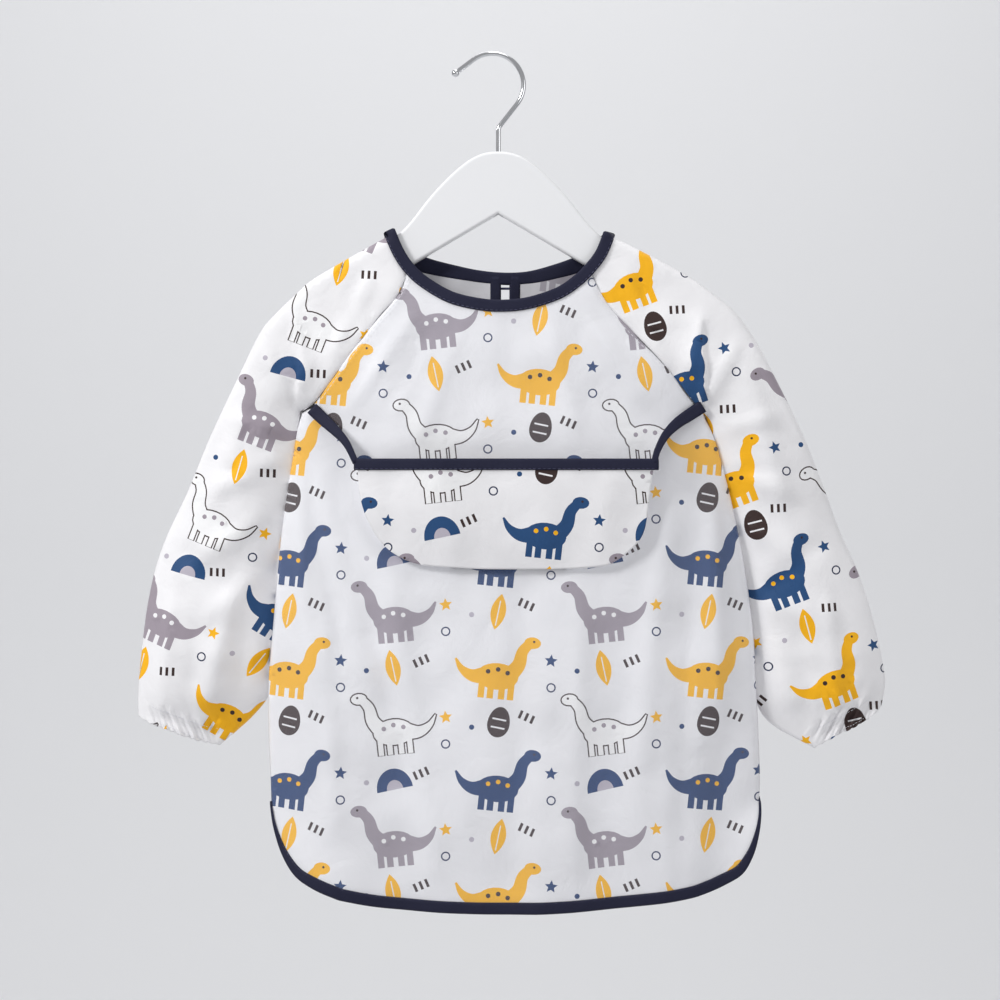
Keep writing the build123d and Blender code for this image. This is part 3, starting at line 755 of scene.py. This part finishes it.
SLEEVE_SET_BACK = 8.0
for side, prefix, outer, inner, cuff_points, front_seam, back_seam, place in [
    (-1, "left", left_outer, left_inner, LEFT_CUFF, left_raglan, left_back_raglan, ((-101, 146), -27, (-85, -421))),
    (1, "right", right_outer, right_inner, RIGHT_CUFF, right_raglan, right_back_raglan,
     ((163.5, 158), 27, (48, -443))),
]:
    cuff = curve_through(cuff_points, 0.95)
    lines, halves = [outer, inner], []
    shift, turn, about = place
    for front, seam, neck in [(True, front_seam, neck_front), (False, back_seam, neck_back)]:
        top = neck[np.abs(neck[:, 0]) >= abs(seam[0, 0]) - 0.2]
        top = top[top[:, 0] * side > 0]
        top = top[np.argsort(top[:, 0] * side)][:-1]
        ring = np.vstack([outer, cuff[1:-1], inner[::-1], seam[::-1][1:-1], top])
        work = ring if front else ring * (-1, 1)
        regions = printed(work, shift, turn, about) if front else printed(work, (40, 90), -turn, (0, -300))
        fold = np.array([(side * 145, -195.0), (side * 149, -275.0)])
        fine = [(cuff * (1 if front else -1, 1), 15, 1.0), (fold * (1 if front else -1, 1), 5, 1.8)]
        flat, faces, colours = cut_cloth(work, regions, CRISP, fine=fine)
        flat = flat if front else flat * (-1, 1)
        points = shaped(flat, lines, front, False, sleeve_folds(side), 0.0, [seam])
        back_by = SLEEVE_SET_BACK * ramp(np.hypot(flat[:, 0] - side * 100, flat[:, 1] + 150), 120, 260)
        points[:, 1] += back_by / 1000
        frill = np.exp(-(away_from(flat, [cuff]) / 3) ** 2)
        across = flat[:, 0] * 0.92 - side * flat[:, 1] * 0.38
        points[:, 2] += 0.0005 * frill * np.sin(across * 2 * math.pi / PLEAT)
        halves.append((points, faces, colours, area_of(ring)))
    (p1, f1, c1, a1), (p2, f2, c2, a2) = halves
    points, faces, colours = np.vstack([p1, p2]), np.vstack([f1, f2 + len(p1)]), np.vstack([c1, c2])
    sleeve = sew(prefix + "_sleeve_cloth", points, faces, printed_cloth, colours, None)
    work = bmesh.new()
    work.from_mesh(sleeve.data)
    bmesh.ops.remove_doubles(work, verts=work.verts, dist=0.0002)
    bmesh.ops.recalc_face_normals(work, faces=work.faces)
    work.to_mesh(sleeve.data)
    work.free()
    thicken(sleeve, CLOTH_THICK)
    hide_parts(prefix + "_sleeve_cap", prefix + "_sleeve")
    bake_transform(sleeve)

# ---------------------------------------------------------------------------
# Navy tape. A woven bias tape folded over each raw edge and stitched: round the neck,
# down both sides of the back slit, and all round the hem.
# ---------------------------------------------------------------------------
navy_tape = weave_material("navy_tape_cloth", 0.75, 0.06, weave=0.0003, dyed=False, colour=rgb(24, 26, 52))


def grid_faces(rows, columns, wrap_rows):
    """Four-sided faces of a grid of points whose rows are rings, and which joins its last row to its first where
    asked."""
    r, c = np.arange(rows if wrap_rows else rows - 1), np.arange(columns)
    r, c = np.meshgrid(r, c, indexing="ij")
    r2, c2 = (r + 1) % rows, (c + 1) % columns
    return np.stack([r * columns + c, r2 * columns + c, r2 * columns + c2, r * columns + c2], -1).reshape(-1, 4)


def tape(name, surface, thick, closed, material=navy_tape, ripple=0.0):
    """A flat tape from its middle surface, a grid of points along by across. The surface is thickened to both sides
    along its own normals by half the thickness times a rounded profile, and open ends are capped."""
    along = np.gradient(surface, axis=0)
    if closed:
        along = (np.roll(surface, -1, axis=0) - np.roll(surface, 1, axis=0)) / 2
    across = np.gradient(surface, axis=1)
    out = np.cross(along, across)
    out /= np.maximum(np.linalg.norm(out, axis=2), 1e-12)[..., None]
    u = np.linspace(-1, 1, surface.shape[1])
    swell = np.clip(1 - np.abs(u) ** 6, 0, 1) ** 0.5 * 0.5 + 0.02
    middle, half = surface + out * ripple, out * (swell * thick)[None, :, None]
    ring = np.concatenate([middle + half, (middle - half)[:, ::-1]], axis=1)
    faces = grid_faces(len(ring), ring.shape[1], closed).tolist()
    if not closed:
        end = list(range(ring.shape[1]))
        faces += [end, [(len(ring) - 1) * ring.shape[1] + k for k in end][::-1]]
    mesh = bpy.data.meshes.new(name)
    mesh.from_pydata(ring.reshape(-1, 3).tolist(), [], faces)
    mesh.polygons.foreach_set("use_smooth", np.full(len(mesh.polygons), True))
    mesh.materials.append(material)
    work = bmesh.new()
    work.from_mesh(mesh)
    bmesh.ops.recalc_face_normals(work, faces=work.faces)
    work.to_mesh(mesh)
    work.free()
    piece = bpy.data.objects.new(name, mesh)
    scene.collection.objects.link(piece)
    return piece


def along_edge(path, low, high, front, lines, folds, lift=0.0, count=9):
    """The grid of a tape that follows a flat edge: each point of the path is moved square to the path by low to high
    millimetres, and then hung on the cloth. Returns the flat grid and the hung one."""
    run = np.gradient(path, axis=0)
    side = np.stack([run[:, 1], -run[:, 0]], 1) / np.linalg.norm(run, axis=1)[:, None]
    low, high = np.broadcast_to(low, len(path)), np.broadcast_to(high, len(path))
    u = low[:, None] + (high - low)[:, None] * np.linspace(0, 1, count)[None]
    flat = path[:, None, :] + side[:, None, :] * u[..., None]
    hung = shaped(flat.reshape(-1, 2), lines, front, True, folds, lift).reshape(len(path), count, 3)
    return flat, hung


def stitches(name, lines, material, length=2.4, gap=1.1, thick=0.42, lift=0.25):
    """A row of short stitches along each line in space: every stitch is a small four-sided bar, tapered at its ends,
    laid along the line and lifted off the cloth by a fraction of a millimetre."""
    bars = []
    for line, out in lines:
        gone = np.concatenate([[0], np.cumsum(np.linalg.norm(np.diff(line, axis=0), axis=1))]) * 1000
        marks = np.arange(gap, gone[-1] - length, length + gap)
        a, b = (np.stack([np.interp(at, gone, line[:, k]) for k in range(3)], 1)
                for at in (marks, marks + length))
        t = (b - a) / np.maximum(np.linalg.norm(b - a, axis=1), 1e-9)[:, None]
        o = np.stack([np.interp(marks, gone, out[:, k]) for k in range(3)], 1)
        o /= np.linalg.norm(o, axis=1)[:, None]
        w = np.cross(t, o)
        spots = []
        for s, r in [(0.0, 0.45), (0.25, 1.0), (0.75, 1.0), (1.0, 0.45)]:
            base = a + (b - a) * s + o * lift / 1000
            for p, q in [(1, 0), (0, 1), (-1, 0), (0, -1)]:
                spots.append(base + (w * p + o * q * 0.8) * r * thick / 2000)
        bars.append(np.stack(spots, 1))
    bars = np.concatenate(bars)
    faces = [[3, 2, 1, 0], [12, 13, 14, 15]]
    faces += [[4 * i + a, 4 * i + (a + 1) % 4, 4 * i + 4 + (a + 1) % 4, 4 * i + 4 + a]
              for i in range(3) for a in range(4)]
    faces = (np.array(faces)[None] + 16 * np.arange(len(bars))[:, None, None]).reshape(-1, 4)
    return sew(name, bars.reshape(-1, 3), faces, material)


def outward(surface):
    """Unit normals of a grid of points, turned away from the middle plane."""
    n = np.cross(np.gradient(surface, axis=0), np.gradient(surface, axis=1))
    n /= np.maximum(np.linalg.norm(n, axis=2), 1e-12)[..., None]
    flip = np.sign(n[..., 1] * np.where(surface[..., 1] < 0, -1, 1))
    return n * np.where(flip == 0, 1, flip)[..., None]


TAPE_THICK = 0.0019
navy_thread, nodes, links, shader = new_material("navy_thread", rgb(52, 54, 92), 0.55, Sheen_Weight=0.3)
uneven(nodes, links, shader, 400, 0.45, 0.65, 2500, 0.00006)
white_thread, nodes, links, shader = new_material("white_thread", rgb(226, 226, 232), 0.55, Sheen_Weight=0.3)
uneven(nodes, links, shader, 400, 0.45, 0.65, 2500, 0.00006)

neck_f = curve_through(NECK_FRONT, 2.5)
neck_b = curve_through([NECK_BACK[0], (-76.8, -131), *NECK_BACK[1:-1], (78.6, -131), NECK_BACK[-1]], 2.5)
_, front_grid = along_edge(neck_f, -4.4, 4.4, True, BODY_LINES, front_folds, 0.6)
back_width = np.interp(np.abs(neck_b[:, 0]), [0, 20, 56, 70, 79], [4.6, 5.0, 8.0, 6.4, 4.4])
_, back_grid = along_edge(neck_b, -4.4, back_width, False, BODY_LINES, back_folds, 0.05)
neck_grid = np.concatenate([front_grid[:-1], back_grid[::-1][:-1]])
neck_tape = tape("neck_tape", neck_grid, TAPE_THICK, True)
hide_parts("neck_binding")
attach(neck_tape, "smock")

slit_path = np.vstack([[(SLIT[0], -158.0)], slit_left, slit_right[1:], [(SLIT[1], -158.0)]])
_, slit_grid = along_edge(slit_path, 7.8, -0.5, False, BODY_LINES, back_folds, 0.0)
slit_tape = tape("slit_tape", slit_grid, TAPE_THICK, False)
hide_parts("slit_binding")
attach(slit_tape, "smock")

hem_path = curve_through(HEM, 2.5)
from_end = np.minimum(np.arange(len(hem_path)), np.arange(len(hem_path))[::-1]) * 2.5
hem_width = -1.0 - 6.8 * ramp(from_end, 0, 75)
_, front_hem = along_edge(hem_path, 0.8, hem_width, True, BODY_LINES, front_folds, 2.0)
_, back_hem = along_edge(hem_path, 0.8, hem_width, False, BODY_LINES, back_folds, 0.0)
hem_tape = tape("hem_tape", np.concatenate([front_hem[:-1], back_hem[::-1][:-1]]), 0.0026, True)
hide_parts("hem_binding")
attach(hem_tape, "smock")

edge_rows = [(grid[:, column], outward(grid)[:, column]) for grid, column in
             [(front_grid, 7), (back_grid, 7), (front_hem, 7), (back_hem, 7)]]
seam_rows = []
for seam, front, folds, step in [(left_raglan, True, front_folds, 2.4), (right_raglan, True, front_folds, -2.4),
                                 (left_back_raglan, False, back_folds, 2.4),
                                 (right_back_raglan, False, back_folds, -2.4)]:
    _, row = along_edge(seam[2:-5], step * -0.8, step * -1.2, front, BODY_LINES, folds, 0.9 if front else 0.0, 3)
    seam_rows.append((row[:, 1], outward(row)[:, 1]))
seam_stitches = stitches("seam_stitches", seam_rows, white_thread, lift=0.3)
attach(seam_stitches, "smock")
tape_stitches = stitches("tape_stitches", edge_rows, navy_thread, lift=1.0)
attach(tape_stitches, "smock")

# ---------------------------------------------------------------------------
# Pocket. A shallow pouch of the same cloth, without film, hangs across the chest from
# its taped mouth. Its wall runs down both sides from the ends of the raglan seams.
# ---------------------------------------------------------------------------
POUCH = [(-100, -297), (-98.6, -315), (-95.5, -328), (-91, -338.5), (-85, -348.5), (-76.6, -356.8), (-66, -363),
         (-54, -366.6), (-30, -368.6), (-7, -369.6), (45, -369.4), (73.8, -367.3), (82, -364.5), (89, -360),
         (98, -352), (103.4, -343), (106, -330), (107.6, -315), (110.2, -297)]
pouch_edge = curve_through(POUCH)
MOUTH_Z = -297.0
pouch_top = np.stack([np.linspace(110.2, -100, 73), np.full(73, MOUTH_Z)], 1)[1:-1]
pouch_ring = np.vstack([pouch_edge, pouch_top])


def pouch_stand(x, z):
    """How far the pouch stands off the body: a couple of millimetres at its foot and a finger's width at its mouth,
    with a slight belly and three soft upright folds."""
    rise = np.clip((z + 369.6) / 74, 0, 1.1)
    belly = 3.2 * np.sin(np.clip(rise, 0, 1) * math.pi) * (1 - ((x - 5) / 120) ** 2)
    y = 3.0 + 9.5 * rise ** 1.1 + belly
    y += creases(x, z, [((-45, -292), (-30, -366), 12, 1.6), ((40, -292), (30, -366), 13, 1.5),
                    ((80, -296), (74, -360), 9, 1.3), ((-78, -296), (-72, -356), 9, -1.2)])
    return y + crumple(x, z, 31, 40, 0.5)


def body_face(x, z):
    """Depth of the bare front below the pouch, in millimetres."""
    return fullness(x, z, BODY_LINES, True) + front_folds(x, z) + 2.5


def pouch_face(x, z):
    """Depth of the pouch itself, in millimetres."""
    return body_face(x, z) + pouch_stand(x, z)


flat, faces, colours = cut_cloth(pouch_ring, printed(pouch_ring, (34, 20)), CRISP, spacing=4.5)
points = np.stack([flat[:, 0], -pouch_face(flat[:, 0], flat[:, 1]), flat[:, 1]], 1) / 1000
pouch = sew("pocket_cloth", points, faces, printed_cloth, colours, 0.0006)
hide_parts("pocket_front")
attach(pouch, "pocket")

mouth_x = np.linspace(-102.3, 113.7, 90)
mouth_flat = np.stack([np.broadcast_to(mouth_x[:, None], (90, 9)),
                       np.broadcast_to(np.linspace(-291, -299.2, 9)[None], (90, 9))], 2)
mouth_y = (body_face(mouth_flat[..., 0].ravel(), mouth_flat[..., 1].ravel())
           + pouch_stand(mouth_flat[..., 0].ravel(), np.full(810, MOUTH_Z)) + 0.5).reshape(90, 9)
mouth_grid = np.stack([mouth_flat[..., 0], -mouth_y, mouth_flat[..., 1]], 2) / 1000
mouth_tape = tape("pocket_mouth_tape", mouth_grid, 0.0022, False)
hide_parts("pocket_binding")
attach(mouth_tape, "pocket")
mouth_stitches = stitches("pocket_mouth_stitches", [(mouth_grid[:, 7], outward(mouth_grid)[:, 7])], navy_thread,
                          lift=1.0)
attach(mouth_stitches, "pocket")

wall_cloth = weave_material("wall_cloth", 0.62, 0.25, dyed=False, colour=rgb(238, 238, 242))
for side, prefix, leg, edge in [(-1, "left", leg_left, pouch_edge[:38]),
                                (1, "right", leg_right, pouch_edge[-38:][::-1])]:
    leg = curve_through(np.vstack([leg[:-3:4], leg[-1:]]), 2.5)
    t = np.linspace(0, 1, len(leg))
    at_body = body_face(leg[:, 0], leg[:, 1])
    corner = pouch_face(edge[:1, 0], edge[:1, 1])[0]
    leg_depth = at_body + (corner - at_body[-1]) * ramp(t, 0.0, 1.0) + 0.5
    run = np.gradient(leg, axis=0)
    across = np.stack([run[:, 1], -run[:, 0]], 1) / np.linalg.norm(run, axis=1)[:, None]
    width = 4.6 - 2.3 * ramp(t, 0.1, 0.95)
    u = np.linspace(-1, 1, 9)
    leg_flat = leg[:, None] + across[:, None] * (u[None] * width[:, None])[..., None]
    leg_grid = np.stack([leg_flat[..., 0], np.broadcast_to(-leg_depth[:, None], leg_flat.shape[:2]),
                         leg_flat[..., 1]], 2) / 1000
    leg_tape = tape(prefix + "_leg_tape", leg_grid, 0.002, False)
    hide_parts(prefix + "_gusset_binding")
    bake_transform(leg_tape)
    rim = np.vstack([leg, edge[1:]])
    rim_depth = np.concatenate([leg_depth, pouch_face(edge[1:, 0], edge[1:, 1])])
    floor_depth = body_face(rim[:, 0], rim[:, 1]) - 1.2
    s = np.linspace(0, 1, 6)
    wall_depth = floor_depth[:, None] + (rim_depth - floor_depth)[:, None] * s[None]
    pinch = -side * 1.4 * np.sin(s * math.pi)[None]
    wall_grid = np.stack([rim[:, :1] + pinch, -wall_depth,
                          np.broadcast_to(rim[:, 1:], wall_depth.shape)], 2) / 1000
    wall = tape(prefix + "_pocket_wall", wall_grid, 0.0007, False, wall_cloth)
    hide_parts(prefix + "_pocket_gusset")
    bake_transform(wall)

# ---------------------------------------------------------------------------
# Cuffs. A narrow casing of the sleeve's own cloth holds a ring of elastic, which
# gathers the sleeve's end into small pleats and leaves a short frill below it.
# ---------------------------------------------------------------------------
casing_cloth = weave_material("casing_cloth", 0.62, 0.25, dyed=False, colour=rgb(236, 236, 241))
for side, prefix, lines, cuff_points in [(-1, "left", [left_outer, left_inner], LEFT_CUFF),
                                         (1, "right", [right_outer, right_inner], RIGHT_CUFF)]:
    cuff = curve_through(cuff_points, 0.9)
    run = np.gradient(cuff, axis=0)
    up = np.stack([-run[:, 1], run[:, 0]], 1) / np.linalg.norm(run, axis=1)[:, None]
    up *= np.sign(up[:, 1:2])
    u = np.linspace(6.0, 11.5, 7)
    flat = cuff[:, None] + up[:, None] * u[None, :, None]
    rings = []
    for front in (True, False):
        points = shaped(flat.reshape(-1, 2), lines, front, False, sleeve_folds(side), -1.9)
        points[:, 1] += SLEEVE_SET_BACK / 1000
        rings.append(points.reshape(len(cuff), 7, 3))
    grid = np.concatenate([rings[0][:-1], rings[1][::-1][:-1]])
    phase = np.arange(len(grid)) * 2 * math.pi / 5.0
    band = tape(prefix + "_cuff_band", grid, 0.0012, True, casing_cloth,
                ripple=(0.0002 * np.sin(phase))[:, None, None])
    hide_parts(prefix + "_cuff_elastic")
    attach(band, prefix + "_sleeve")
    rows = []
    for at in (2.0, 11.5):
        flat = cuff[:, None] + up[:, None] * (at + np.array([-0.4, 0, 0.4]))[None, :, None]
        for front in (True, False):
            points = shaped(flat.reshape(-1, 2), lines, front, False, sleeve_folds(side), 0.0)
            points[:, 1] += SLEEVE_SET_BACK / 1000
            row = points.reshape(len(cuff), 3, 3)
            rows.append((row[:, 1], outward(row)[:, 1]))
    cuff_stitches = stitches(prefix + "_cuff_stitches", rows, white_thread, length=1.8, gap=0.9, lift=0.15)
    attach(cuff_stitches, prefix + "_sleeve")

# ---------------------------------------------------------------------------
# Closing. A small flat button on the back neck tape, its thread, and a corded loop.
# ---------------------------------------------------------------------------
button_plastic, nodes, links, shader = new_material("button_plastic", rgb(48, 50, 84), 0.3, Coat_Weight=0.3)
uneven(nodes, links, shader, 200, 0.25, 0.4, 900, 0.00005)
repaint("neck_button", button_plastic)
repaint("button_thread", navy_thread)
repaint("neck_loop", navy_thread)

size = {"cad": [list(v) for v in cad_box], "visual": [list(v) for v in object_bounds()]}
